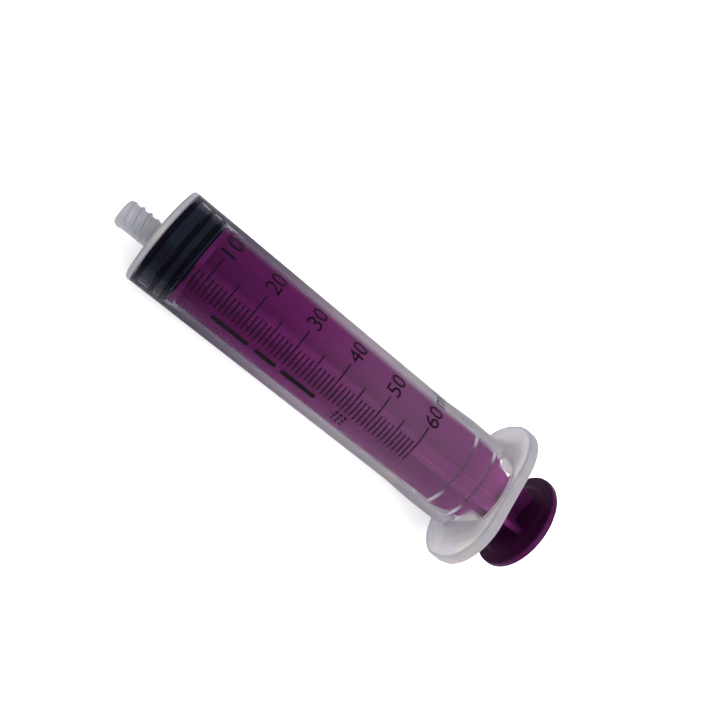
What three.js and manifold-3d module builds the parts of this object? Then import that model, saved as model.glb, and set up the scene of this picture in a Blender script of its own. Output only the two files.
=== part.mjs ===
// Oral (enteral feeding) syringe, 60 ml, lying on its side with the plunger pushed home.
// Three moulded pieces: a clear barrel with its threaded tip and finger flange, a black
// rubber stopper, and a purple plunger rod with a cross-shaped shaft and a round thumb press.
//
// Units are millimetres. Every piece is drawn about the barrel's axis, which runs along +X
// from the tip to the thumb press. "Station" means a distance along that axis, counted from
// the outside of the barrel's front wall. The finished group stands on the long flat side of
// the flange, with +Z up and the origin at the middle of its footprint.

import * as THREE from 'three';
import { mergeVertices } from 'three/addons/utils/BufferGeometryUtils.js';
import Module from 'manifold-3d';

const wasm = await Module();
wasm.setup();

// ---- driving dimensions -------------------------------------------------------------

const ROUND_STEPS = 64; // facets round every coaxial body
const TIP_STEPS = 36;
const JOINT_GAP = 0.3; // free space between pieces that nearly touch
const SLIVER = 0.006; // cuts leave no edge or step finer than this
const OVERLAP = 1; // joined bodies run into each other, and cuts past a face, by this much

const barrel = {
  outerR: 15.7,
  boreR: 14.45,
  frontWall: 1.5,
  cornerR: 0.8, // rounding of the front edge
  floorChamfer: 0.5, // inside, where bore and front wall meet
  flareStart: 96.45, // the wall starts to widen here
  flareEnd: 111.45,
  flareR: 16.35,
  mouthStart: 119.95, // inside, the bore opens towards the mouth from here
  mouthR: 15.15,
};

const retainer = {
  stations: [110.75, 118.45], // two raised rings in the bore that hold the stopper in
  innerR: 13.95,
  crestWidth: 0.4,
  rampWidth: 0.4,
};

const flange = {
  front: 125.95,
  thickness: 3.7,
  halfLength: 25.5,
  halfHeight: 18.1,
  cornerR: 16.5, // leaves a short straight end on each ear
  edgeChamfer: 0.5,
  gussetReach: 5.5, // how far the ear's root runs forward along the barrel
  gussetR: 22.5, // where the root has faded into the flange
  gussetFrom: 8, // no root nearer than this to the middle plane
  gussetInset: 0.7, // the roots stay this far inside the flange's edge
};

const tip = {
  offset: -1.75, // the tip sits to one side of the barrel's axis
  length: 11.6,
  rootR: 4.1,
  hubR: 4.85,
  hubLength: 1.9,
  endRound: 0.7,
  socketR: 2.95, // mouth of the socket that takes the mating connector
  socketFloorR: 2.9,
  socketDepth: 7.6,
  socketFloorRun: 0.4, // length of the cone between the socket's floor and the fluid way
  lumenR: 1.5, // fluid way from the socket into the barrel
};

const thread = {
  starts: 2,
  lead: 5,
  first: -10.5, // station of the ridge nearest the tip's end
  turns: 1.6,
  height: 0.55,
  rootWidth: 1.35,
  crestWidth: 0.55,
  rootDepth: 0.35, // the ridge's foot lies this far inside the tip
  stepsPerTurn: 24,
  fadeTurns: 0.12, // run-out at both ends of a ridge
  reliefAngle: 200, // middle of the side where the mould leaves the ridges out
  reliefHalf: 42,
  reliefFade: 12,
  reliefFrom: -8.8, // the ridge nearest the end isn't relieved
};

const stopper = {
  front: barrel.frontWall + JOINT_GAP,
  rear: 12.6,
  noseR: 13.4,
  ribR: 14.37,
  landR: 14.15,
  ribStations: [2.85, 7.75, 11.3],
  ribHalf: 0.7,
  ribSlope: 0.35,
  cavityFloor: 6,
  cavityR: 7,
  lip: 10.5, // the undercut ends here and the narrow mouth begins
  mouthR: 5.2,
};

const rod = {
  front: stopper.rear + JOINT_GAP,
  discR: 13.6,
  discThickness: 1.6,
  discChamfer: 0.3,
  finR: 13.7,
  finThickness: 1.9,
  taperStart: 114.45,
  taperEnd: 129.45,
  taperR: 10.8,
  endBend: 4, // the fins turn in over this length before the thumb press
  endR: 9.2, // fin radius where it meets the thumb press
  neckR: 4.9,
  headR: 6.7,
  headChamfer: 1.2,
  headFront: 6.3,
  headRear: 10.2,
  turn: 30, // how far the cross is turned about the axis, in degrees
};

const press = {
  front: 143.2,
  rear: 145.6,
  radius: 16.8,
  edge: 0.55, // rounding of both edges of the rim
  bossR: 13.2, // the front face thickens slightly inside this radius
  bossHeight: 0.35,
  bossRun: 1.5,
  gripRings: [4.6, 7.8, 11],
  gripHeight: 0.35,
  gripWidth: 0.9,
  sink: 0.4, // the rear face is dished this much inside the rim
  sinkRun: 0.6,
  rimWidth: 1.6,
};

const axisHeight = flange.halfHeight;
const midStation = (press.rear - tip.length) / 2;

// ---- helpers ------------------------------------------------------------------------

// A closed solid that can be joined to and cut by others.
function toSolid(geometry) {
  const bare = geometry.clone();
  bare.deleteAttribute('normal');
  bare.deleteAttribute('uv');
  const merged = mergeVertices(bare, 1e-4);
  const mesh = new wasm.Mesh({
    numProp: 3,
    vertProperties: new Float32Array(merged.attributes.position.array),
    triVerts: new Uint32Array(merged.index.array),
  });
  return new wasm.Manifold(mesh);
}

// The drawable surface of a finished solid.
function toGeometry(solid) {
  const mesh = solid.simplify(SLIVER).getMesh();
  const geometry = new THREE.BufferGeometry();
  geometry.setAttribute('position', new THREE.BufferAttribute(mesh.vertProperties, 3));
  geometry.setIndex(new THREE.BufferAttribute(mesh.triVerts, 1));
  geometry.computeVertexNormals();
  return geometry;
}

const union = (solids) => solids.reduce((sum, solid) => sum.add(solid));

// A body turned about the X axis. The profile is a list of [station, radius].
function turned(profile, steps = ROUND_STEPS) {
  const points = profile.map(([station, radius]) => new THREE.Vector2(radius, station));
  const geometry = new THREE.LatheGeometry(points, steps);
  geometry.rotateZ(-Math.PI / 2);
  return geometry;
}

// A flat outline in the Y-Z plane, thickened along X from one station to another.
function plateAcross(shape, from, to, chamfer = 0) {
  const geometry = new THREE.ExtrudeGeometry(shape, {
    depth: to - from - 2 * chamfer,
    bevelEnabled: chamfer > 0,
    bevelThickness: chamfer,
    bevelSize: chamfer,
    bevelOffset: -chamfer,
    bevelSegments: 1,
    curveSegments: 14,
  });
  geometry.translate(0, 0, from + chamfer);
  // shape x -> Y, shape y -> Z, depth -> X
  geometry.applyMatrix4(new THREE.Matrix4().set(0, 0, 1, 0, 1, 0, 0, 0, 0, 1, 0, 0, 0, 0, 0, 1));
  return geometry;
}

// A flat outline in the X-Y plane, thickened along Z about the middle.
function plateAlong(shape, thickness) {
  const geometry = new THREE.ExtrudeGeometry(shape, { depth: thickness, bevelEnabled: false });
  geometry.translate(0, 0, -thickness / 2);
  return geometry;
}

// Points of a quarter circle in (station, radius), from one angle to another in degrees.
function arc(station, radius, r, fromDeg, toDeg, steps = 4) {
  return Array.from({ length: steps + 1 }, (_, i) => {
    const a = THREE.MathUtils.degToRad(fromDeg + ((toDeg - fromDeg) * i) / steps);
    return [station + r * Math.cos(a), radius + r * Math.sin(a)];
  });
}

// ---- barrel -------------------------------------------------------------------------

function barrelOutside() {
  const c = barrel.cornerR;
  const end = flange.front + flange.thickness / 2;
  return toSolid(turned([
    [0, 0],
    ...arc(c, barrel.outerR - c, c, 180, 90),
    [barrel.flareStart, barrel.outerR],
    [barrel.flareEnd, barrel.flareR],
    [end, barrel.flareR],
    [end, 0],
  ]));
}

// The hollow: flat floor, straight bore, two retaining rings, opened mouth.
function barrelHollow() {
  const rings = retainer.stations.flatMap((station) => {
    const crest = retainer.crestWidth / 2;
    const foot = crest + retainer.rampWidth;
    return [
      [station - foot, barrel.boreR],
      [station - crest, retainer.innerR],
      [station + crest, retainer.innerR],
      [station + foot, barrel.boreR],
    ];
  });
  const past = flange.front + flange.thickness + OVERLAP;
  return toSolid(turned([
    [barrel.frontWall, 0],
    [barrel.frontWall, barrel.boreR - barrel.floorChamfer],
    [barrel.frontWall + barrel.floorChamfer, barrel.boreR],
    ...rings,
    [barrel.mouthStart, barrel.boreR],
    [past, barrel.mouthR],
    [past, 0],
  ]));
}

function flangeOutline(grow = 0) {
  const a = flange.halfLength + grow;
  const b = flange.halfHeight + grow;
  const r = flange.cornerR + grow;
  const shape = new THREE.Shape();
  shape.moveTo(-a + r, -b);
  shape.lineTo(a - r, -b);
  shape.absarc(a - r, -b + r, r, -Math.PI / 2, 0);
  shape.lineTo(a, b - r);
  shape.absarc(a - r, b - r, r, 0, Math.PI / 2);
  shape.lineTo(-a + r, b);
  shape.absarc(-a + r, b - r, r, Math.PI / 2, Math.PI);
  shape.lineTo(-a, -b + r);
  shape.absarc(-a + r, -b + r, r, Math.PI, Math.PI * 1.5);
  return shape;
}

function flangePlate() {
  const rear = flange.front + flange.thickness;
  return toSolid(plateAcross(flangeOutline(), flange.front, rear, flange.edgeChamfer));
}

// The ears' curved roots: a hollow-sided cone round the barrel, kept only where a ramp that
// rises with the distance from the middle plane covers it, so it fades out above and below.
function earRoots() {
  const steps = 6;
  const inside = barrel.flareR - OVERLAP;
  const base = flange.front + OVERLAP;
  const cone = [[flange.front - flange.gussetReach, inside]];
  for (let i = 0; i <= steps; i += 1) {
    const share = i / steps;
    const radius = THREE.MathUtils.lerp(barrel.flareR, flange.gussetR, share);
    cone.push([flange.front - flange.gussetReach * (1 - share) ** 2, radius]);
  }
  cone.push([base, flange.gussetR], [base, inside]);
  cone.push(cone[0]);
  const ring = toSolid(turned(cone));
  const wide = 2 * flange.halfLength;
  const toe = flange.front - flange.gussetReach - OVERLAP;
  const ramp = new THREE.Shape();
  ramp.moveTo(base, flange.gussetFrom);
  ramp.lineTo(base, wide);
  ramp.lineTo(toe, wide);
  ramp.lineTo(toe, barrel.flareR);
  const ear = toSolid(plateAlong(ramp, 4 * flange.halfHeight));
  const within = toSolid(plateAcross(flangeOutline(-flange.gussetInset), 0, base + OVERLAP));
  return ring.intersect(ear.add(ear.mirror([0, 1, 0]))).intersect(within);
}

// Straight tip with a rounded end, widening in a curve where it meets the front wall.
function tipOutside() {
  const end = -tip.length;
  const round = tip.endRound;
  const hub = [0, 0.5, 1].map((share) => [
    -tip.hubLength * (1 - share),
    THREE.MathUtils.lerp(tip.rootR, tip.hubR, share ** 2),
  ]);
  return toSolid(turned([
    [end, 0],
    [end, tip.rootR - round],
    ...arc(end + round, tip.rootR - round, round, 180, 90, 3).slice(1),
    ...hub,
    [barrel.frontWall / 2, tip.hubR],
    [barrel.frontWall / 2, 0],
  ], TIP_STEPS));
}

// Socket for the mating connector, then the narrow fluid way through the front wall.
function tipHollow() {
  const mouth = -tip.length - OVERLAP;
  const floor = tip.socketDepth - tip.length;
  const inside = barrel.frontWall + OVERLAP;
  return toSolid(turned([
    [mouth, 0],
    [mouth, tip.socketR],
    [floor, tip.socketFloorR],
    [floor + tip.socketFloorRun, tip.lumenR],
    [inside, tip.lumenR],
    [inside, 0],
  ], TIP_STEPS));
}

// How tall a ridge is, as a share of its full height, at one place on the thread.
function ridgeShare(turn, angleDeg, station) {
  const { clamp, euclideanModulo, smoothstep } = THREE.MathUtils;
  const { turns, fadeTurns, reliefAngle, reliefHalf, reliefFade, reliefFrom } = thread;
  const ends = clamp(Math.min(turn, turns - turn) / fadeTurns, 0, 1);
  if (station <= reliefFrom) return ends;
  const away = Math.abs(euclideanModulo(angleDeg - reliefAngle + 180, 360) - 180);
  return Math.min(ends, smoothstep(away, reliefHalf - reliefFade, reliefHalf + reliefFade));
}

// One right-handed ridge, as a closed strip of four-sided sections.
function threadRidge(startAngle) {
  const steps = Math.round(thread.turns * thread.stepsPerTurn);
  const foot = tip.rootR - thread.rootDepth;
  const faded = tip.rootR - thread.rootDepth / 2; // the crest where the ridge has run out
  const full = tip.rootR + thread.height;
  const positions = [];
  const index = [];
  for (let i = 0; i <= steps; i += 1) {
    const turn = (thread.turns * i) / steps;
    const angleDeg = startAngle + 360 * turn;
    const angle = THREE.MathUtils.degToRad(angleDeg);
    const station = thread.first + thread.lead * turn;
    const top = THREE.MathUtils.lerp(faded, full, ridgeShare(turn, angleDeg, station));
    const corners = [
      [-thread.rootWidth / 2, foot],
      [thread.rootWidth / 2, foot],
      [thread.crestWidth / 2, top],
      [-thread.crestWidth / 2, top],
    ];
    for (const [along, radius] of corners) {
      positions.push(station + along, radius * Math.cos(angle), radius * Math.sin(angle));
    }
    if (i < steps) {
      for (let k = 0; k < 4; k += 1) {
        const a = 4 * i + k;
        const b = 4 * i + ((k + 1) % 4);
        index.push(a, b, a + 4, b, b + 4, a + 4);
      }
    }
  }
  const last = 4 * steps;
  index.push(0, 2, 1, 0, 3, 2);
  index.push(last, last + 1, last + 2, last, last + 2, last + 3);
  const geometry = new THREE.BufferGeometry();
  geometry.setAttribute('position', new THREE.Float32BufferAttribute(positions, 3));
  geometry.setIndex(index);
  return toSolid(geometry);
}

function barrelGeometry() {
  const starts = Array.from({ length: thread.starts }, (_, i) => (360 * i) / thread.starts);
  const aside = [0, tip.offset, 0];
  const nozzle = union([tipOutside(), ...starts.map(threadRidge)]).translate(aside);
  const body = union([barrelOutside(), flangePlate(), earRoots(), nozzle]);
  return toGeometry(body.subtract(barrelHollow()).subtract(tipHollow().translate(aside)));
}

// ---- stopper ------------------------------------------------------------------------

function stopperGeometry() {
  const { ribHalf, ribSlope, ribR, landR } = stopper;
  const ribs = stopper.ribStations.flatMap((station) => [
    [station - ribHalf - ribSlope, landR],
    [station - ribHalf, ribR],
    [station + ribHalf, ribR],
    [station + ribHalf + ribSlope, landR],
  ]);
  const profile = [
    [stopper.front, 0],
    [stopper.front, stopper.noseR],
    ...ribs.slice(1, -1), // the front and rear ribs run straight into the end faces
    [stopper.rear, landR],
    [stopper.rear, stopper.mouthR],
    [stopper.lip, stopper.mouthR],
    [stopper.lip, stopper.cavityR],
    [stopper.cavityFloor, stopper.cavityR],
    [stopper.cavityFloor, 0],
  ];
  return toGeometry(toSolid(turned(profile)));
}

// ---- plunger rod --------------------------------------------------------------------

// Outline of one full plate of the cross: both of its fins, narrowed towards the press.
function finOutline() {
  const end = press.front + press.edge;
  const start = rod.front + rod.discThickness / 2;
  const shape = new THREE.Shape();
  shape.moveTo(start, -rod.finR);
  shape.lineTo(start, rod.finR);
  shape.lineTo(rod.taperStart, rod.finR);
  const mid = (rod.taperStart + rod.taperEnd) / 2;
  const bend = press.front - rod.endBend;
  shape.bezierCurveTo(mid, rod.finR, mid, rod.taperR, rod.taperEnd, rod.taperR);
  shape.quadraticCurveTo(bend, rod.taperR, end, rod.endR);
  shape.lineTo(end, -rod.endR);
  shape.quadraticCurveTo(bend, -rod.taperR, rod.taperEnd, -rod.taperR);
  shape.bezierCurveTo(mid, -rod.taperR, mid, -rod.finR, rod.taperStart, -rod.finR);
  return shape;
}

// The snap-in head, its neck and the disc that pushes on the stopper.
function rodFront() {
  const rear = rod.front + rod.discThickness;
  const { headChamfer, discChamfer } = rod;
  return toSolid(turned([
    [rod.headFront, 0],
    [rod.headFront, rod.headR - headChamfer],
    [rod.headFront + headChamfer, rod.headR],
    [rod.headRear, rod.headR],
    [rod.headRear, rod.neckR],
    [rod.front, rod.neckR],
    [rod.front, rod.discR - discChamfer],
    [rod.front + discChamfer, rod.discR],
    [rear - discChamfer, rod.discR],
    [rear, rod.discR - discChamfer],
    [rear, 0],
  ]));
}

// A thin round plate with a softened edge, a dished rear face and raised grip rings.
function thumbPress() {
  const { front, rear, radius, edge } = press;
  const dish = rear - press.sink;
  const rings = [...press.gripRings].reverse().flatMap((r) => [
    [dish, r + press.gripWidth / 2],
    [dish + press.gripHeight, r + press.gripWidth / 4],
    [dish + press.gripHeight, r - press.gripWidth / 4],
    [dish, r - press.gripWidth / 2],
  ]);
  return toSolid(turned([
    [front - press.bossHeight, 0],
    [front - press.bossHeight, press.bossR - press.bossRun],
    [front, press.bossR],
    ...arc(front + edge, radius - edge, edge, 180, 90, 3),
    ...arc(rear - edge, radius - edge, edge, 90, 0, 3),
    [rear, radius - press.rimWidth],
    [dish, radius - press.rimWidth - press.sinkRun],
    ...rings,
    [dish, 0],
  ]));
}

function rodGeometry() {
  const plate = toSolid(plateAlong(finOutline(), rod.finThickness));
  const cross = plate.add(plate.rotate([90, 0, 0])).rotate([rod.turn, 0, 0]);
  return toGeometry(union([rodFront(), cross, thumbPress()]));
}

// ---- the finished syringe -----------------------------------------------------------

const materials = {
  clearPlastic: new THREE.MeshStandardMaterial({
    color: 0xd9dadd, roughness: 0.25, metalness: 0, transparent: true, opacity: 0.4,
  }),
  blackRubber: new THREE.MeshStandardMaterial({ color: 0x1c1f26, roughness: 0.55, metalness: 0 }),
  purplePlastic: new THREE.MeshStandardMaterial({ color: 0x5a1d52, roughness: 0.35, metalness: 0 }),
};

function piece(name, geometry, material) {
  const mesh = new THREE.Mesh(geometry, material);
  mesh.name = name;
  return mesh;
}

const syringe = new THREE.Group();
syringe.add(
  piece('barrel', barrelGeometry(), materials.clearPlastic),
  piece('stopper', stopperGeometry(), materials.blackRubber),
  piece('plunger_rod', rodGeometry(), materials.purplePlastic),
);
syringe.position.set(-midStation, 0, axisHeight);

export default syringe;
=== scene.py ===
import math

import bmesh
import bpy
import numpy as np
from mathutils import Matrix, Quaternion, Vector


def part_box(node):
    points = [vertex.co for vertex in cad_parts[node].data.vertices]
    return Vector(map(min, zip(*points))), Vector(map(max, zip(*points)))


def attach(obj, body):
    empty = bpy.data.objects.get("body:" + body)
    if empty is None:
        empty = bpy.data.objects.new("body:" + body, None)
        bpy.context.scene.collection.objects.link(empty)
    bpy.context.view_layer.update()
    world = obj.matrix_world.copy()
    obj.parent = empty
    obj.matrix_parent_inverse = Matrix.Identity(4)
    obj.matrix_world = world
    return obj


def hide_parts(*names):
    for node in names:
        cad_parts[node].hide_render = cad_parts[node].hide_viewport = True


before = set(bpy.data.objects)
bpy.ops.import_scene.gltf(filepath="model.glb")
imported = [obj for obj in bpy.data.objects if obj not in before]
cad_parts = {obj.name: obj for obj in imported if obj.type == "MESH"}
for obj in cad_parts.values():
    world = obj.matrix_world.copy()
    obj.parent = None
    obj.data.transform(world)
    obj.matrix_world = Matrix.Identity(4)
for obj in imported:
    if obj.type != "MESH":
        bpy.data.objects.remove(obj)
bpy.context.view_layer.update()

# A 60 ml feeding syringe lying on a pale floor: clear barrel, black rubber stopper and
# purple plunger rod. Each of these is one closed mesh that stands for its CAD solid. The
# printed scale is a set of thin closed patches on the barrel.
#
# Lengths are millimetres, except for the stage, which is in metres. "Station" is the distance
# along the barrel's axis from the outside of its front wall, towards the thumb press. Each
# mesh is a grid: rows follow a profile, and columns go round the axis.

MM = 0.001

# ---- dimensions ---------------------------------------------------------------------

BARREL = dict(outer=15.7, bore=14.45, wall=1.5, corner=0.8, floor_chamfer=0.5,
              flare_start=96.45, flare_end=111.45, flare_r=16.35,
              mouth_start=119.95, mouth_r=15.08)
RINGS = dict(stations=(110.75, 118.45), inner=14.02, half=0.85)
FLANGE = dict(front=125.95, rear=129.65, half_y=25.5, half_z=18.1, corner=16.5, edge=0.55,
              root_reach=5.5, root_r=22.5, fillet=0.5)
TIP = dict(offset=-1.75, length=11.6, root=4.1, hub=4.85, hub_length=1.9, end_round=0.7,
           socket=2.95, socket_floor=2.9, socket_depth=7.6, lumen=1.5)
THREAD = dict(starts=2, lead=5.0, first=-10.5, turns=1.6, height=0.55, foot=1.35, crest=0.55,
              fade=0.12, relief_angle=200.0, relief_half=42.0, relief_fade=12.0,
              relief_from=-8.8)
STOPPER = dict(front=1.8, rear=12.6, nose=13.4, rib=14.47, land=14.15,
               ribs=(2.85, 7.75, 11.3), rib_half=0.68, rib_slope=0.34,
               cavity_floor=6.0, cavity=7.0, lip=10.5, mouth=5.2)
ROD = dict(front=12.9, disc=13.6, disc_thickness=1.6, fin=13.7, fin_half=0.95,
           taper_start=114.45, taper_end=129.45, taper_r=10.8, end_r=9.2, end_bend=4.0,
           neck=4.9, head=6.7, head_chamfer=1.2, head_front=6.3, head_rear=10.2,
           turn=30.0, root_fillet=1.3, tip_round=0.45)
PRESS = dict(front=143.2, rear=145.6, radius=16.8, edge=0.6, boss=13.2, boss_height=0.35,
             rings=(11.0, 7.8, 4.6), ring_height=0.35, ring_width=0.9, sink=0.4, rim=1.6)

barrel_low, barrel_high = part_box("barrel")
AXIS_Z = (barrel_low.z + barrel_high.z) / 2
FRONT_X = barrel_low.x + TIP["length"] * MM


def metres(points):
    """Points of (station, y, z) in millimetres about the axis, in the row frame in metres."""
    out = np.asarray(points, float) * MM
    return out + np.array([FRONT_X, 0.0, AXIS_Z])


# ---- camera and lamps, in metres ----------------------------------------------------

CAMERA_SPOT = (FRONT_X + 0.0199, -0.05617, 0.2140)
CAMERA_AIM = (FRONT_X + 0.06868, 0.00878, AXIS_Z)
CAMERA_ROLL = 74.2
CAMERA_LENS = 34.13


def add_object(name, data):
    thing = bpy.data.objects.new(name, data)
    bpy.context.scene.collection.objects.link(thing)
    return thing


def add_camera():
    data = bpy.data.cameras.new("camera")
    data.lens = CAMERA_LENS
    data.sensor_width = 36.0
    data.clip_start = 0.01
    data.clip_end = 20.0
    camera = add_object("camera", data)
    look = Vector(CAMERA_AIM) - Vector(CAMERA_SPOT)
    turn = look.to_track_quat("-Z", "Y") @ Quaternion((0, 0, 1), math.radians(CAMERA_ROLL))
    camera.location = CAMERA_SPOT
    camera.rotation_mode = "QUATERNION"
    camera.rotation_quaternion = turn
    bpy.context.scene.camera = camera
    return camera


def add_softbox(name, spot, aim, size, power, colour=(1, 1, 1)):
    data = bpy.data.lights.new(name, "AREA")
    data.shape = "RECTANGLE"
    data.size, data.size_y = size
    data.energy = power
    data.color = colour
    light = add_object(name, data)
    light.location = spot
    light.rotation_mode = "QUATERNION"
    light.rotation_quaternion = (Vector(aim) - Vector(spot)).to_track_quat("-Z", "Y")
    return light


# ---- node helpers -------------------------------------------------------------------

def new_material(name):
    material = bpy.data.materials.new(name)
    material.use_nodes = True
    material.node_tree.nodes.clear()
    return material, material.node_tree


def add_node(tree, kind, values=None, **settings):
    node = tree.nodes.new(kind)
    for key, value in settings.items():
        setattr(node, key, value)
    for key, value in (values or {}).items():
        if isinstance(value, bpy.types.NodeSocket):
            tree.links.new(value, node.inputs[key])
        else:
            node.inputs[key].default_value = value
    return node


def noise(tree, vector, scale, detail=4.0, roughness=0.5):
    values = {"Vector": vector, "Scale": scale, "Detail": detail, "Roughness": roughness}
    return add_node(tree, "ShaderNodeTexNoise", values).outputs["Fac"]


def remap(tree, value, low, high, to_low, to_high):
    values = {"Value": value, "From Min": low, "From Max": high,
              "To Min": to_low, "To Max": to_high}
    return add_node(tree, "ShaderNodeMapRange", values).outputs["Result"]


def bump(tree, height, distance, strength=1.0):
    values = {"Height": height, "Distance": distance, "Strength": strength}
    return add_node(tree, "ShaderNodeBump", values).outputs["Normal"]


def ramp(tree, value, low, high):
    """A smooth step from 0 at low to 1 at high, where low may be the larger of the two."""
    values = {"Value": value, "From Min": low, "From Max": high}
    return add_node(tree, "ShaderNodeMapRange", values,
                    interpolation_type="SMOOTHSTEP").outputs["Result"]


def span(tree, value, ends, origin=0.0):
    """A smooth step between two places, in millimetres from an origin in metres."""
    return ramp(tree, value, origin + ends[0] * MM, origin + ends[1] * MM)


def calculate(tree, operation, *values):
    return add_node(tree, "ShaderNodeMath", dict(enumerate(values)),
                    operation=operation).outputs[0]


def larger(tree, a, b):
    return calculate(tree, "MAXIMUM", a, b)


def product(tree, a, b):
    return calculate(tree, "MULTIPLY", a, b)


def scaled(tree, mask, most):
    """A mask of 0 to 1 brought down to 0 to most."""
    return remap(tree, mask, 0.0, 1.0, 0.0, most)


def blend(tree, share, a, b):
    """A colour between a and b."""
    node = add_node(tree, "ShaderNodeMix", {0: share}, data_type="RGBA")
    for index, colour in ((6, a), (7, b)):
        if isinstance(colour, bpy.types.NodeSocket):
            tree.links.new(colour, node.inputs[index])
        else:
            node.inputs[index].default_value = (*colour, 1)
    return node.outputs[2]


# ---- materials ----------------------------------------------------------------------

def barrel_places(tree):
    """Where a point is: as a vector, along the axis, and its distance from the axis."""
    place = add_node(tree, "ShaderNodeTexCoord").outputs["Object"]
    along = add_node(tree, "ShaderNodeSeparateXYZ", {"Vector": place}).outputs["X"]
    off = add_node(tree, "ShaderNodeVectorMath", {0: place, 1: (0, 0, AXIS_Z)},
                   operation="SUBTRACT").outputs[0]
    flat = add_node(tree, "ShaderNodeVectorMath", {0: off, 1: (0, 1, 1)},
                    operation="MULTIPLY").outputs[0]
    radius = add_node(tree, "ShaderNodeVectorMath", {0: flat},
                      operation="LENGTH").outputs["Value"]
    return place, along, radius


# The barrel's haze, with painted shade and painted highlights in it: how much of the surface
# it takes, and between which places it sets in.
# Places are along the axis from the front wall's outside, from its inside or from the
# flange's front, then out from the axis, and across to both sides of it.
HAZE_AND_PAINTED_LIGHT = dict(edge_on=0.92, bore_by_seal=0.5, frosted=0.78, root=0.72, cloudy=0.075, rings=0.8)
FROM_FRONT = dict(past_seal=(4.0, 24.0))
FROM_INSIDE = dict(front_wall=(0.5, 0.0))
FROM_FLANGE = dict(flange=(-0.3, 0.5), root=(-6.5, -3.5), rings=(-20.0, -18.0),
                   cloudy=(-90.0, -35.0), shade=(-125.0, -30.0))
OUT = dict(hub=(6.0, 8.0), bore=(14.9, 14.6), rings=(14.42, 14.25), off_rings=(14.1, 14.44),
           flange=(16.4, 17.4))
ACROSS = dict(root=(7.2, 8.2), rings=(6.0, 10.0))
ACROSS_MIDDLE = -2.0
FACING = dict(outside=(0.34, 0.58), in_bore=(0.22, 0.30))


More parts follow.
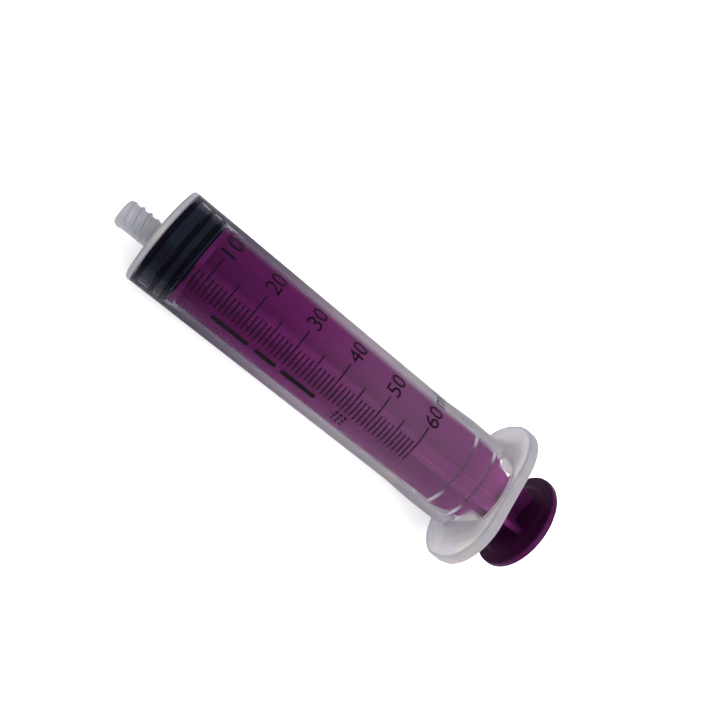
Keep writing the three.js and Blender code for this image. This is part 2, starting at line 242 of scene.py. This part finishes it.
def clear_plastic():
    """Polypropylene: clear along the tube, milkier towards the flange and where it is seen
    edge on, and frosted on the tip, the front wall and the flange. Where it is seen edge on,
    the milk's colour is painted shade: dark near the tip, lighter towards the flange. The
    roots of the ears and the sides of the bore's rings are painted lighter, as painted
    highlights."""
    material, tree = new_material("clear_plastic")
    place, along, radius = barrel_places(tree)
    front = FRONT_X + BARREL["wall"] * MM
    flange = FRONT_X + FLANGE["front"] * MM
    on_front = span(tree, along, FROM_INSIDE["front_wall"], front)
    on_flange = larger(tree, span(tree, along, FROM_FLANGE["flange"], flange),
                       span(tree, radius, OUT["flange"]))
    frosted = larger(tree, on_front, on_flange)
    across = add_node(tree, "ShaderNodeSeparateXYZ", {"Vector": place}).outputs["Y"]
    across = calculate(tree, "ABSOLUTE", calculate(tree, "ADD", across, -ACROSS_MIDDLE * MM))
    # Painted highlight: the roots of the ears are made nearly as milky as the flange, standing
    # for the highlight on their fillets.
    root_highlight = product(tree, span(tree, across, ACROSS["root"]),
                      span(tree, along, FROM_FLANGE["root"], flange))
    # Painted highlight: on both sides, the slopes of the bore's two rings are painted a light
    # milk, for the short bright arcs they show.
    ring_highlight = product(tree, span(tree, radius, OUT["rings"]),
                       product(tree, span(tree, along, FROM_FLANGE["rings"], flange),
                               span(tree, across, ACROSS["rings"])))
    fine = noise(tree, place, 900.0, 3.0)
    broad = noise(tree, place, 60.0, 2.0)

    rough = remap(tree, fine, 0.35, 0.65, 0.03, 0.07)
    ripple = bump(tree, broad, 0.00003)
    bent = add_node(tree, "ShaderNodeBsdfRefraction", {
        "Color": (0.93, 0.93, 0.95, 1), "Roughness": rough, "IOR": 1.49, "Normal": ripple})
    sheen = add_node(tree, "ShaderNodeBsdfAnisotropic", {
        "Color": (0.5, 0.5, 0.54, 1), "Roughness": rough, "Normal": ripple})
    mirrored = add_node(tree, "ShaderNodeFresnel", {"IOR": 1.18, "Normal": ripple})
    body = add_node(tree, "ShaderNodeMixShader",
                    {0: mirrored.outputs[0], 1: bent.outputs[0], 2: sheen.outputs[0]})
    warm = ramp(tree, broad, 0.45, 0.7)
    milk = blend(tree, warm, (0.42, 0.41, 0.44), (0.51, 0.47, 0.46))
    wall = blend(tree, warm, (0.57, 0.57, 0.62), (0.70, 0.66, 0.64))
    tip = blend(tree, warm, (0.47, 0.475, 0.50), (0.60, 0.56, 0.54))
    milk = blend(tree, on_front, milk,
                 blend(tree, span(tree, radius, OUT["hub"]), tip, wall))
    # Painted shade: the milk seen edge on is dark near the tip and lighter towards the flange.
    shade = blend(tree, span(tree, along, FROM_FLANGE["shade"], flange),
                  (0.10, 0.085, 0.135), (0.55, 0.47, 0.54))
    cloudy = span(tree, along, FROM_FLANGE["cloudy"], flange)
    milk = blend(tree, larger(tree, larger(tree, frosted, root_highlight), cloudy), shade, milk)
    # The light milk on the rings' sides is a painted highlight.
    milk = blend(tree, ring_highlight, milk, (0.85, 0.85, 0.88))
    front_side = add_node(tree, "ShaderNodeBsdfDiffuse", {"Color": milk})
    back_side = add_node(tree, "ShaderNodeBsdfTranslucent", {"Color": milk})
    haze = add_node(tree, "ShaderNodeMixShader",
                    {0: 0.7, 1: front_side.outputs[0], 2: back_side.outputs[0]})

    facing = add_node(tree, "ShaderNodeLayerWeight", {"Blend": 0.5}).outputs["Facing"]
    past_seal = span(tree, along, FROM_FRONT["past_seal"], FRONT_X)
    off_rings = span(tree, radius, OUT["off_rings"])
    outside = product(tree, ramp(tree, facing, *FACING["outside"]),
                      product(tree, remap(tree, past_seal, 0.0, 1.0, 0.3, 1.0), off_rings))
    in_bore = product(tree, span(tree, radius, OUT["bore"]),
                      product(tree, ramp(tree, past_seal, 1.0, 0.0),
                              ramp(tree, facing, *FACING["in_bore"])))
    grazing = larger(tree, scaled(tree, outside, HAZE_AND_PAINTED_LIGHT["edge_on"]),
                     scaled(tree, in_bore, HAZE_AND_PAINTED_LIGHT["bore_by_seal"]))
    share = larger(tree, grazing, scaled(tree, frosted, HAZE_AND_PAINTED_LIGHT["frosted"]))
    share = larger(tree, share, scaled(tree, root_highlight, HAZE_AND_PAINTED_LIGHT["root"]))
    share = larger(tree, share, scaled(tree, cloudy, HAZE_AND_PAINTED_LIGHT["cloudy"]))
    share = larger(tree, share, scaled(tree, ring_highlight, HAZE_AND_PAINTED_LIGHT["rings"]))
    milky = add_node(tree, "ShaderNodeMixShader",
                     {0: share, 1: body.outputs[0], 2: haze.outputs[0]})
    path = add_node(tree, "ShaderNodeLightPath").outputs["Is Shadow Ray"]
    pane = add_node(tree, "ShaderNodeBsdfTransparent", {"Color": (0.93, 0.93, 0.95, 1)})
    lit = add_node(tree, "ShaderNodeMixShader",
                   {0: path, 1: milky.outputs[0], 2: pane.outputs[0]})
    add_node(tree, "ShaderNodeOutputMaterial", {"Surface": lit.outputs[0]})
    return material


ON_RIB = (14.2, 14.4)                # out from the axis
# where the fins are painted darker, as shade, towards the stopper
ROD_SHADE_NEAR_SEAL = (5.0, 60.0)               # along, from the front wall's outside
# where the rod is painted darker, as shade, behind the flange
ROD_END_SHADE = (1.0, 9.0)               # along, from the flange's rear


def black_rubber():
    """Black rubber: dark and smooth on the ribs; between them it is painted lighter and bluish,
    a painted reflection of the air gap to the bore.
    """
    material, tree = new_material("black_rubber")
    place, _, radius = barrel_places(tree)
    grain = noise(tree, place, 2600.0, 3.0, 0.6)
    smear_and_sheen = noise(tree, place, 120.0, 3.0)
    on_rib = span(tree, radius, ON_RIB)
    # Painted reflection: between the ribs the rubber is painted lighter and bluish, for the air
    # gap to the bore; the ribs, pressed on the bore, stay near black.
    painted_gap_reflection = blend(tree, smear_and_sheen, (0.007, 0.009, 0.014), (0.012, 0.016, 0.024))
    tint = blend(tree, on_rib, painted_gap_reflection, (0.003, 0.003, 0.005))
    body = add_node(tree, "ShaderNodeBsdfPrincipled", {
        "Base Color": tint, "Roughness": remap(tree, smear_and_sheen, 0.35, 0.65, 0.34, 0.52),
        "IOR": 1.5, "Specular IOR Level": 0.03, "Normal": bump(tree, grain, 0.00002)})
    add_node(tree, "ShaderNodeOutputMaterial", {"Surface": body.outputs[0]})
    return material


def purple_plastic():
    """Deep purple polypropylene, half gloss, with flow lines along the shaft. Its colour is
    painted darker, as shade, towards the stopper, and darker still over the part of the rod
    behind the flange, up to the press."""
    material, tree = new_material("purple_plastic")
    place, along, _ = barrel_places(tree)
    stretched = add_node(tree, "ShaderNodeMapping", {
        "Vector": place, "Scale": (0.06, 1.0, 1.0)}).outputs[0]
    flow = remap(tree, noise(tree, stretched, 420.0, 4.0), 0.3, 0.7, 0.0, 1.0)
    grain = noise(tree, place, 1800.0, 3.0, 0.6)
    fin = blend(tree, flow, (0.118, 0.015, 0.090), (0.140, 0.019, 0.106))
    # Painted shade: the part of the rod behind the flange, up to the press, is painted darker.
    shaded_end = blend(tree, flow, (0.032, 0.004, 0.027), (0.042, 0.006, 0.036))
    # Painted shade: the fins are painted darker towards the stopper.
    shaded_near_seal = blend(tree, flow, (0.062, 0.009, 0.052), (0.078, 0.012, 0.064))
    fin = blend(tree, span(tree, along, ROD_SHADE_NEAR_SEAL, FRONT_X), shaded_near_seal, fin)
    rear = FRONT_X + FLANGE["rear"] * MM
    tint = blend(tree, span(tree, along, ROD_END_SHADE, rear), fin, shaded_end)
    body = add_node(tree, "ShaderNodeBsdfPrincipled", {
        "Base Color": tint, "Roughness": remap(tree, grain, 0.3, 0.7, 0.34, 0.46),
        "IOR": 1.49, "Specular IOR Level": 0.02, "Normal": bump(tree, grain, 0.00002)})
    add_node(tree, "ShaderNodeOutputMaterial", {"Surface": body.outputs[0]})
    return material


def scale_ink():
    """Printed black ink, a little uneven in cover."""
    material, tree = new_material("scale_ink")
    place = add_node(tree, "ShaderNodeTexCoord").outputs["Object"]
    cover = noise(tree, place, 1500.0, 3.0)
    tint = blend(tree, cover, (0.002, 0.001, 0.003), (0.006, 0.003, 0.006))
    body = add_node(tree, "ShaderNodeBsdfPrincipled", {
        "Base Color": tint, "Roughness": remap(tree, cover, 0.3, 0.7, 0.45, 0.6),
        "Specular IOR Level": 0.08, "Normal": bump(tree, cover, 0.00001)})
    add_node(tree, "ShaderNodeOutputMaterial", {"Surface": body.outputs[0]})
    return material


def pale_floor():
    material, tree = new_material("pale_floor")
    place = add_node(tree, "ShaderNodeTexCoord").outputs["Object"]
    cloud = noise(tree, place, 3.0, 2.0)
    tint = blend(tree, cloud, (0.94, 0.94, 0.94), (0.96, 0.96, 0.96))
    body = add_node(tree, "ShaderNodeBsdfPrincipled", {
        "Base Color": tint, "Roughness": 0.9, "Specular IOR Level": 0.1})
    add_node(tree, "ShaderNodeOutputMaterial", {"Surface": body.outputs[0]})
    return material


# ---- mesh helpers -------------------------------------------------------------------

def rounded(profile, steps=5):
    """A profile of (station, radius, rounding) with each corner turned into an arc."""
    points = [np.array(p[:2], float) for p in profile]
    rounding = [p[2] if len(p) > 2 else 0.0 for p in profile]
    out = []
    for i, here in enumerate(points):
        size = rounding[i]
        if size == 0 or i in (0, len(points) - 1):
            out.append(here)
            continue
        back = points[i - 1] - here
        ahead = points[i + 1] - here
        back, ahead = back / np.linalg.norm(back), ahead / np.linalg.norm(ahead)
        half = math.acos(np.clip(back @ ahead, -1, 1)) / 2
        reach = size / math.tan(half)
        middle = here + (back + ahead) / np.linalg.norm(back + ahead) * size / math.sin(half)
        start, end = here + back * reach - middle, here + ahead * reach - middle
        swing = math.acos(np.clip(start @ end / size ** 2, -1, 1))
        for k in range(steps + 1):
            share = k / steps
            weight_a = math.sin((1 - share) * swing) / math.sin(swing)
            weight_b = math.sin(share * swing) / math.sin(swing)
            out.append(middle + start * weight_a + end * weight_b)
    return out


def held(profile, hold=0.08, longest=6.0):
    """Adds rows close to both ends of each long straight run, and evenly along it, so that
    smooth shading stays flat there."""
    out = [profile[0]]
    for a, b in zip(profile, profile[1:]):
        length = np.linalg.norm(b - a)
        if length > 4 * hold:
            step = (b - a) / length * hold
            count = max(1, math.ceil(length / longest))
            out += [a + step]
            out += [a + (b - a) * k / count for k in range(1, count)]
            out += [b - step]
        out.append(b)
    return out


def grid_object(name, rows, material, wrap_rows=False):
    """Joins rows of points into one closed mesh. A row of one point is a pole."""
    mesh = bpy.data.meshes.new(name)
    build = bmesh.new()
    loops = [[build.verts.new(p) for p in metres(row)] for row in rows]
    pairs = list(zip(loops, loops[1:] + loops[:1])) if wrap_rows else zip(loops, loops[1:])
    for low, high in pairs:
        count = max(len(low), len(high))
        for i in range(count):
            j = (i + 1) % count
            if len(low) == 1:
                build.faces.new((low[0], high[i], high[j]))
            elif len(high) == 1:
                build.faces.new((low[i], high[0], low[j]))
            else:
                build.faces.new((low[i], high[i], high[j], low[j]))
    bmesh.ops.recalc_face_normals(build, faces=build.faces)
    build.to_mesh(mesh)
    build.free()
    mesh.shade_smooth()
    mesh.materials.append(material)
    return add_object(name, mesh)


def circle_row(station, radius, angles, centre=0.0):
    """One row about the axis, or about an axis moved sideways. Both may vary with angle."""
    y = centre + radius * np.cos(angles)
    z = radius * np.sin(angles)
    return np.stack([np.broadcast_to(station, y.shape), y, z], axis=-1)


def eased(share):
    """A share of 0 to 1 that starts and ends gently."""
    return share * share * (3 - 2 * share)


def smooth_share(value, low, high):
    """How far a value has come from low to high, as an eased share of 0 to 1."""
    return eased(np.clip((value - low) / (high - low), 0, 1))


# ---- barrel -------------------------------------------------------------------------

AROUND = 192
barrel_angles = np.linspace(0, 2 * math.pi, AROUND, endpoint=False)


def tube_radius(station):
    """The tube's outside, also where it widens towards the flange."""
    share = smooth_share(np.asarray(station, float), BARREL["flare_start"], BARREL["flare_end"])
    return BARREL["outer"] + (BARREL["flare_r"] - BARREL["outer"]) * share


def flange_radius(angles):
    """Distance from the axis to the flange's outline: straight sides and round ears."""
    straight_y = FLANGE["half_y"] - FLANGE["corner"]
    straight_z = FLANGE["half_z"] - FLANGE["corner"]
    along_y, along_z = np.abs(np.cos(angles)), np.abs(np.sin(angles))
    middle = along_y * straight_y + along_z * straight_z
    off = straight_y ** 2 + straight_z ** 2 - FLANGE["corner"] ** 2
    on_ear = middle + np.sqrt(np.maximum(middle ** 2 - off, 0))
    on_side = FLANGE["half_z"] / np.maximum(along_z, 1e-6)
    return np.where(on_side * along_y < straight_y, on_side, on_ear)


def root_depth(radius, angles):
    """How far the flange's root runs forward along the barrel, at one radius and angle."""
    share = np.clip((radius - BARREL["flare_r"])
                    / (FLANGE["root_r"] - BARREL["flare_r"]), 0, 1)
    ear = smooth_share(np.abs(np.cos(angles)), 0.55, 1.0)
    small = np.clip(1 - (radius - BARREL["flare_r"]) / (2 * FLANGE["fillet"]), 0, 1)
    return np.maximum(FLANGE["root_reach"] * (1 - share) ** 2 * ear,
                      FLANGE["fillet"] * small ** 2)


def thread_height(station, angles):
    """Height of the thread's ridges above the tip, round one row."""
    height = np.zeros_like(angles)
    degrees = np.degrees(angles)
    away = np.abs((degrees - THREAD["relief_angle"] + 180) % 360 - 180)
    side = smooth_share(away, THREAD["relief_half"] - THREAD["relief_fade"],
                        THREAD["relief_half"] + THREAD["relief_fade"])
    for start in range(THREAD["starts"]):
        for lap in range(-1, 3):
            turn = degrees / 360 - start / THREAD["starts"] + lap
            middle = THREAD["first"] + THREAD["lead"] * turn
            ends = np.clip(np.minimum(turn, THREAD["turns"] - turn) / THREAD["fade"], 0, 1)
            shape = 1 - smooth_share(np.abs(station - middle), THREAD["crest"] / 2,
                                     THREAD["foot"] / 2)
            relief = np.where(middle > THREAD["relief_from"], side, 1.0)
            height = np.maximum(height, THREAD["height"] * shape * ends * relief)
    return height


def barrel_rows():
    angles = barrel_angles
    rows = []

    def add(profile, centre=0.0):
        rows.extend(circle_row(s, r, angles, centre) for s, r in held(profile))

    # front wall, from the tip's hub to the rounded corner, then the tube and its flare
    hub_edge = TIP["hub"] + 0.35
    wall_edge = BARREL["outer"] - BARREL["corner"]
    for share in np.linspace(0, 1, 8)[:-1]:
        radius = hub_edge + (wall_edge - hub_edge) * share
        rows.append(circle_row(0.0, radius, angles, TIP["offset"] * (1 - share)))
    flare = [(station, tube_radius(station))
             for station in np.linspace(BARREL["flare_start"], BARREL["flare_end"], 13)]
    outside = rounded([(0, wall_edge - 0.6, 0), (0, BARREL["outer"], BARREL["corner"]),
                       (*flare[0], 0)], 7)
    add(outside[:-1] + [np.array(p) for p in flare]
        + [np.array([FLANGE["front"] - FLANGE["root_reach"] - 0.6, BARREL["flare_r"]])])

    # flange: root and front face, rounded edge, rear face
    outline = flange_radius(angles)
    edge = FLANGE["edge"]
    inner = BARREL["flare_r"]
    for share in np.linspace(0, 1, 26) ** 1.5:
        radius = inner + (outline - edge - inner) * share
        rows.append(circle_row(FLANGE["front"] - root_depth(radius, angles), radius, angles))
    for corner, first, last in ((FLANGE["front"] + edge, 90, 0), (FLANGE["rear"] - edge, 0, -90)):
        for turn in np.radians(np.linspace(first, last, 6)):
            station = corner - edge * math.sin(turn)
            rows.append(circle_row(station, outline - edge * (1 - math.cos(turn)), angles))
    mouth = BARREL["mouth_r"] + 0.45
    for share in np.linspace(0.02, 1, 14):
        radius = (outline - edge) + (mouth + 0.1 - outline + edge) * share
        rows.append(circle_row(FLANGE["rear"], radius, angles))

    # mouth, bore with its two rings, floor
    inside = [(FLANGE["rear"], mouth, 0), (FLANGE["rear"], BARREL["mouth_r"], 0.35),
              (BARREL["mouth_start"], BARREL["bore"], 0)]
    add(rounded(inside))
    for station in reversed(RINGS["stations"]):
        rise = BARREL["bore"] - RINGS["inner"]
        for share in np.linspace(-1, 1, 17):
            radius = BARREL["bore"] - rise * (1 + math.cos(math.pi * share)) / 2
            rows.append(circle_row(station - share * RINGS["half"], radius, angles))
        rows.append(circle_row(station - RINGS["half"] - 0.08, BARREL["bore"], angles))
    floor = BARREL["wall"]
    chamfer = BARREL["floor_chamfer"]
    add(rounded([(RINGS["stations"][0] - 2, BARREL["bore"], 0),
                 (floor, BARREL["bore"], chamfer),
                 (floor, BARREL["bore"] - 2 * chamfer, 0)]))
    lumen_edge = TIP["lumen"] + 0.2
    start = BARREL["bore"] - 2 * chamfer
    for share in np.linspace(0, 1, 9)[1:]:
        radius = start + (lumen_edge - start) * share
        rows.append(circle_row(floor, radius, angles, TIP["offset"] * share))

    # fluid way, socket, end of the tip, thread, hub
    end = -TIP["length"]
    seat = end + TIP["socket_depth"]
    way = [(floor, lumen_edge, 0), (floor, TIP["lumen"], 0.15),
           (seat + 0.4, TIP["lumen"], 0.2), (seat, TIP["socket_floor"], 0.15),
           (end, TIP["socket"], 0.25), (end, TIP["root"], TIP["end_round"]),
           (end + 1.0, TIP["root"], 0)]
    add(rounded(way, 4)[1:-1], TIP["offset"])
    for station in np.linspace(end + 0.75, -TIP["hub_length"], 84):
        radius = TIP["root"] + thread_height(station, angles)
        rows.append(circle_row(station, radius, angles, TIP["offset"]))
    for share in np.linspace(0, 1, 10)[1:]:
        radius = TIP["root"] + (hub_edge - TIP["root"]) * share ** 2.4
        station = -TIP["hub_length"] * (1 - share) ** 1.25
        rows.append(circle_row(station, radius, angles, TIP["offset"]))
    return rows[:-1]


# ---- stopper ------------------------------------------------------------------------

def stopper_rows():
    angles = barrel_angles
    s = STOPPER
    profile = [(s["front"], 0.6, 0), (s["front"], s["nose"], 0.35)]
    for rib in s["ribs"]:
        foot = s["rib_half"] + s["rib_slope"]
        profile += [(rib - foot, s["land"], 0.15), (rib - s["rib_half"], s["rib"], 0.12),
                    (rib + s["rib_half"], s["rib"], 0.12), (rib + foot, s["land"], 0.15)]
    profile = [p for p in profile if s["front"] <= p[0] <= s["rear"] - 0.2]
    profile += [(s["rear"], s["land"], 0.3), (s["rear"], s["mouth"], 0.3),
                (s["lip"], s["mouth"], 0.3), (s["lip"], s["cavity"], 0.15),
                (s["cavity_floor"], s["cavity"], 0.4), (s["cavity_floor"], 0.6, 0)]
    rows = [np.array([[s["front"], 0, 0]])]
    rows += [circle_row(x, r, angles) for x, r in held(rounded(profile, 4), 0.05, 3.0)]
    rows.append(np.array([[s["cavity_floor"], 0, 0]]))
    return rows


# ---- plunger rod --------------------------------------------------------------------

def cross_quarter(fin):
    """A quarter of the shaft's section, from the middle of one fin's tip to just before the
    middle of the next. Points are (along this fin, towards the next)."""
    half, fillet, nose = ROD["fin_half"], ROD["root_fillet"], ROD["tip_round"]
    tip = [(fin, 0.0), (fin, (half - nose) * 0.6)]
    for turn in np.radians(np.linspace(0, 90, 5)):
        tip.append((fin - nose + nose * math.cos(turn), half - nose + nose * math.sin(turn)))
    foot = half + fillet
    side = [(x, half) for x in foot + (fin - nose - foot) * np.array([0.86, 0.66, 0.46, 0.3,
                                                                      0.18, 0.09, 0.03])]
    bend = [(foot - fillet * math.sin(a), foot - fillet * math.cos(a))
            for a in np.radians(np.linspace(0, 90, 13))]
    first_half = tip + side + bend[:6]
    middle = [bend[6]]
    second_half = [(b, a) for a, b in reversed(first_half)][:-1]
    return np.array(first_half + middle + second_half)


def cross_row(station, fin):
    quarter = cross_quarter(fin)
    points = []
    for k in range(4):
        turn = math.radians(ROD["turn"] + 90 * k)
        y = quarter[:, 0] * math.cos(turn) - quarter[:, 1] * math.sin(turn)
        z = quarter[:, 0] * math.sin(turn) + quarter[:, 1] * math.cos(turn)
        points.append(np.stack([np.full(len(y), station), y, z], axis=-1))
    return np.concatenate(points)


def mixed_row(a, b, share):
    return a * (1 - share) + b * share


def rod_rows():
    base = cross_row(0.0, ROD["fin"])
    angles = np.unwrap(np.arctan2(base[:, 2], base[:, 1]))
    r, p = ROD, PRESS
    disc_rear = r["front"] + r["disc_thickness"]
    head = rounded([(r["head_front"], 0.5, 0),
                    (r["head_front"], r["head"] - r["head_chamfer"], 0.2),
                    (r["head_front"] + r["head_chamfer"], r["head"], 0.3),
                    (r["head_rear"], r["head"], 0.2), (r["head_rear"], r["neck"], 0.3),
                    (r["front"], r["neck"], 0.3), (r["front"], r["disc"], 0.3),
                    (disc_rear, r["disc"], 0.3), (disc_rear, r["disc"] - 0.6, 0)], 4)
    rows = [np.array([[r["head_front"], 0, 0]])]
    rows += [circle_row(x, radius, angles) for x, radius in held(head, 0.06, 6.0)]
    first_fin = r["disc"] - 0.7
    face = circle_row(disc_rear, r["disc"] - 0.6, angles)
    shaft = cross_row(disc_rear, first_fin)
    rows += [mixed_row(face, shaft, s) for s in (0.25, 0.5, 0.75, 0.95)]
    rows.append(cross_row(disc_rear + 0.02, first_fin - 0.05))
    grow = r["fin"] - first_fin
    for turn in np.radians(np.linspace(10, 90, 6)):
        fin = first_fin + grow * math.sin(turn)
        rows.append(cross_row(disc_rear + grow * (1 - math.cos(turn)) + 0.05, fin))
    for station in np.linspace(disc_rear + 3, r["taper_start"], 24):
        rows.append(cross_row(station, r["fin"]))
    for share in np.linspace(0, 1, 17)[1:]:
        station = r["taper_start"] + (r["taper_end"] - r["taper_start"]) * share
        rows.append(cross_row(station, r["fin"] + (r["taper_r"] - r["fin"]) * eased(share)))
    press_front = p["front"] - p["boss_height"]
    bend = p["front"] - r["end_bend"]
    for share in np.linspace(0, 1, 13)[1:]:
        station = ((1 - share) ** 2 * r["taper_end"] + 2 * share * (1 - share) * bend
                   + share ** 2 * press_front)
        fin = ((1 - share ** 2) * r["taper_r"] + share ** 2 * r["end_r"])
        rows.append(cross_row(station, fin))
    shaft = cross_row(press_front, r["end_r"])
    boss_edge = p["boss"] - 1.5
    face = circle_row(press_front, boss_edge, angles)
    rows += [mixed_row(shaft, face, s) for s in (0.05, 0.3, 0.6, 0.9)]
    dish = p["rear"] - p["sink"]
    rim = p["radius"] - p["rim"]
    plate = [(press_front, boss_edge, 0), (press_front, boss_edge + 0.2, 0.1),
             (p["front"], p["boss"], 0.4), (p["front"], p["radius"], p["edge"]),
             (p["rear"], p["radius"], p["edge"]), (p["rear"], rim, 0.25),
             (dish, rim - 0.6, 0.25)]
    for ring in p["rings"]:
        half, top = p["ring_width"] / 2, p["ring_width"] / 4
        plate += [(dish, ring + half, 0.12), (dish + p["ring_height"], ring + top, 0.15),
                  (dish + p["ring_height"], ring - top, 0.15), (dish, ring - half, 0.12)]
    plate.append((dish, 0.5, 0))
    rows += [circle_row(x, radius, angles) for x, radius in held(rounded(plate, 4), 0.06, 3.0)]
    rows.append(np.array([[dish, 0, 0]]))
    return rows


# ---- printed scale ------------------------------------------------------------------

SCALE = dict(zero=2.7, pitch=1.52, count=60, foot=-11.2, foot_drift=-0.4, short=-5.1,
             five=-2.0, ten=0.9, width=0.42, figure_start=3.09, figure_drift=-1.44,
             figure_height=5.0, figure_width=3.3, unit_start=10.2, unit_width=2.6)
INK_LIFT = 0.006         # gap between the barrel and the underside of the ink
INK_THICK = 0.02
ARC_STEP = 0.45          # longest run of ink round the barrel before it is cut to bend
# plain bars and dots: along the barrel in stations, and round it from the top as arcs
WORD_BARS = ((24.8, 37.7), (39.9, 47.5), (49.2, 61.7))
WORD_ARC = (-14.4, -12.9)
DOTS = dict(count=3, station=69.5, station_step=1.6, half_length=0.5,
            arc=-15.6, arc_step=1.35, half_width=0.45)


def wrap_on_barrel(station, arc, lift):
    """A point at one station and one distance round from the top, lifted off the surface."""
    turn = arc / BARREL["outer"]
    radius = tube_radius(station) + lift
    return (station, radius * math.sin(turn), radius * math.cos(turn))


def add_patch(build, outline):
    """Adds one flat outline of (station, arc) points to the build, as a face."""
    verts = [build.verts.new((s, a, 0.0)) for s, a in outline]
    build.faces.new(verts)


def bar(build, station, arc_low, arc_high, width):
    half = width / 2
    add_patch(build, [(station - half, arc_low), (station + half, arc_low),
                      (station + half, arc_high), (station - half, arc_high)])


def rounded_bar(build, station_low, station_high, arc_low, arc_high):
    """A plain bar with half-round ends, lying along the barrel."""
    radius = (arc_high - arc_low) / 2
    middle = (arc_high + arc_low) / 2
    outline = []
    for centre, first in ((station_high - radius, -90), (station_low + radius, 90)):
        for turn in np.radians(np.linspace(first, first + 180, 13)):
            outline.append((centre + radius * math.cos(turn), middle + radius * math.sin(turn)))
    add_patch(build, outline)


def add_figures(build, text, station, arc_start, height, width_each):
    """Adds numerals read along the arc, with their tops towards the tip."""
    curve = bpy.data.curves.new("figures", "FONT")
    curve.body = text
    curve.size = 1.0
    holder = add_object("figures", curve)
    graph = bpy.context.evaluated_depsgraph_get()
    flat = bpy.data.meshes.new_from_object(holder.evaluated_get(graph), depsgraph=graph)
    places = np.array([v.co for v in flat.vertices])
    low, high = places.min(0), places.max(0)
    across = width_each * len(text) / (high[0] - low[0])
    tall = height / (high[1] - low[1])
    middle = (low[1] + high[1]) / 2
    verts = [build.verts.new((station - (v[1] - middle) * tall,
                              arc_start + (v[0] - low[0]) * across, 0.0)) for v in places]
    for face in flat.polygons:
        build.faces.new([verts[i] for i in face.vertices])
    bpy.data.objects.remove(holder)
    bpy.data.curves.remove(curve)
    bpy.data.meshes.remove(flat)


def draw_scale(build):
    for k in range(SCALE["count"] + 1):
        station = SCALE["zero"] + SCALE["pitch"] * k
        foot = SCALE["foot"] + SCALE["foot_drift"] * k / SCALE["count"]
        top = SCALE["ten"] if k % 10 == 0 else SCALE["five"] if k % 5 == 0 else SCALE["short"]
        bar(build, station, foot, top, SCALE["width"])
        if k and k % 10 == 0:
            start = SCALE["figure_start"] + SCALE["figure_drift"] * k / SCALE["count"]
            add_figures(build, str(k), station, start,
                        SCALE["figure_height"], SCALE["figure_width"])
    last = SCALE["zero"] + SCALE["pitch"] * SCALE["count"]
    add_figures(build, "ml", last, SCALE["unit_start"], SCALE["figure_height"],
                SCALE["unit_width"])


def draw_marks(build):
    """Plain bars and a block of dots, where a real syringe has words and a symbol."""
    for low, high in WORD_BARS:
        rounded_bar(build, low, high, *WORD_ARC)
    half_length, half_width = DOTS["half_length"], DOTS["half_width"]
    for i in range(DOTS["count"]):
        for j in range(DOTS["count"]):
            station = DOTS["station"] + DOTS["station_step"] * i
            arc = DOTS["arc"] + DOTS["arc_step"] * j
            rounded_bar(build, station - half_length, station + half_length,
                        arc - half_width, arc + half_width)


def ink_object(material):
    build = bmesh.new()
    draw_scale(build)
    draw_marks(build)
    arcs = [v.co.y for v in build.verts]
    for arc in np.arange(min(arcs) + ARC_STEP, max(arcs), ARC_STEP):
        bmesh.ops.bisect_plane(build, geom=build.verts[:] + build.edges[:] + build.faces[:],
                               plane_co=(0, arc, 0), plane_no=(0, 1, 0), dist=1e-5)
    bmesh.ops.triangulate(build, faces=build.faces)
    top = bmesh.ops.extrude_face_region(build, geom=build.faces[:])["geom"]
    top_verts = {g for g in top if isinstance(g, bmesh.types.BMVert)}
    for vert in build.verts:
        lift = INK_LIFT + (INK_THICK if vert in top_verts else 0.0)
        point = wrap_on_barrel(vert.co.x, vert.co.y, lift)
        vert.co = metres(point)
    bmesh.ops.recalc_face_normals(build, faces=build.faces)
    mesh = bpy.data.meshes.new("scale_print")
    build.to_mesh(mesh)
    build.free()
    mesh.materials.append(material)
    return add_object("scale_print", mesh)


# ---- the scene ----------------------------------------------------------------------

FLOOR_HALF = 3.0
LAMP_AIM = (0, 0, 0.02)
LAMPS = (                            # name, place, size and power in watts
    ("key", (0.36, -0.05, 0.40), (0.35, 0.3), 2.7),
    ("top", (0.25, 0.0, 0.95), (0.7, 0.7), 5.4),
    ("left", (0.12, 0.60, 0.60), (0.4, 0.4), 5.4),
    ("right", (0.12, -0.65, 0.60), (0.4, 0.4), 3.9),
    ("front", (-0.20, -0.24, 0.80), (0.4, 0.4), 1.2))


def add_stage():
    mesh = bpy.data.meshes.new("floor")
    half = FLOOR_HALF
    mesh.from_pydata([(-half, -half, 0), (half, -half, 0), (half, half, 0), (-half, half, 0)],
                     [], [(0, 1, 2, 3)])
    mesh.materials.append(pale_floor())
    floor = add_object("floor", mesh)
    world = bpy.data.worlds.new("studio")
    world.use_nodes = True
    tree = world.node_tree
    sky = add_node(tree, "ShaderNodeTexCoord").outputs["Generated"]
    lean = add_node(tree, "ShaderNodeSeparateXYZ", {"Vector": sky}).outputs["X"]
    back = tree.nodes["Background"]
    back.inputs["Color"].default_value = (1, 1, 1, 1)
    strength = remap(tree, ramp(tree, lean, 0.2, 0.65), 0.0, 1.0, 0.02, 0.6)
    tree.links.new(strength, back.inputs["Strength"])
    bpy.context.scene.world = world
    for name, spot, size, power in LAMPS:
        lamp = add_softbox(name, spot, LAMP_AIM, size, power)
        lamp.visible_glossy = False
        lamp.visible_transmission = False
    add_softbox("glint", (-0.11, 0.32, 0.26), (-0.06, 0, 0.03), (0.014, 0.014), 0.06)


bpy.context.scene.view_settings.view_transform = "Standard"
add_camera()
add_stage()

barrel = grid_object("barrel_moulding", barrel_rows(), clear_plastic(), wrap_rows=True)
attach(barrel, "barrel")
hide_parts("barrel")

ink = ink_object(scale_ink())
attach(ink, "barrel")

seal = grid_object("rubber_stopper", stopper_rows(), black_rubber())
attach(seal, "stopper")
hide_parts("stopper")

shaft = grid_object("plunger_moulding", rod_rows(), purple_plastic())
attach(shaft, "plunger")
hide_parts("plunger_rod")
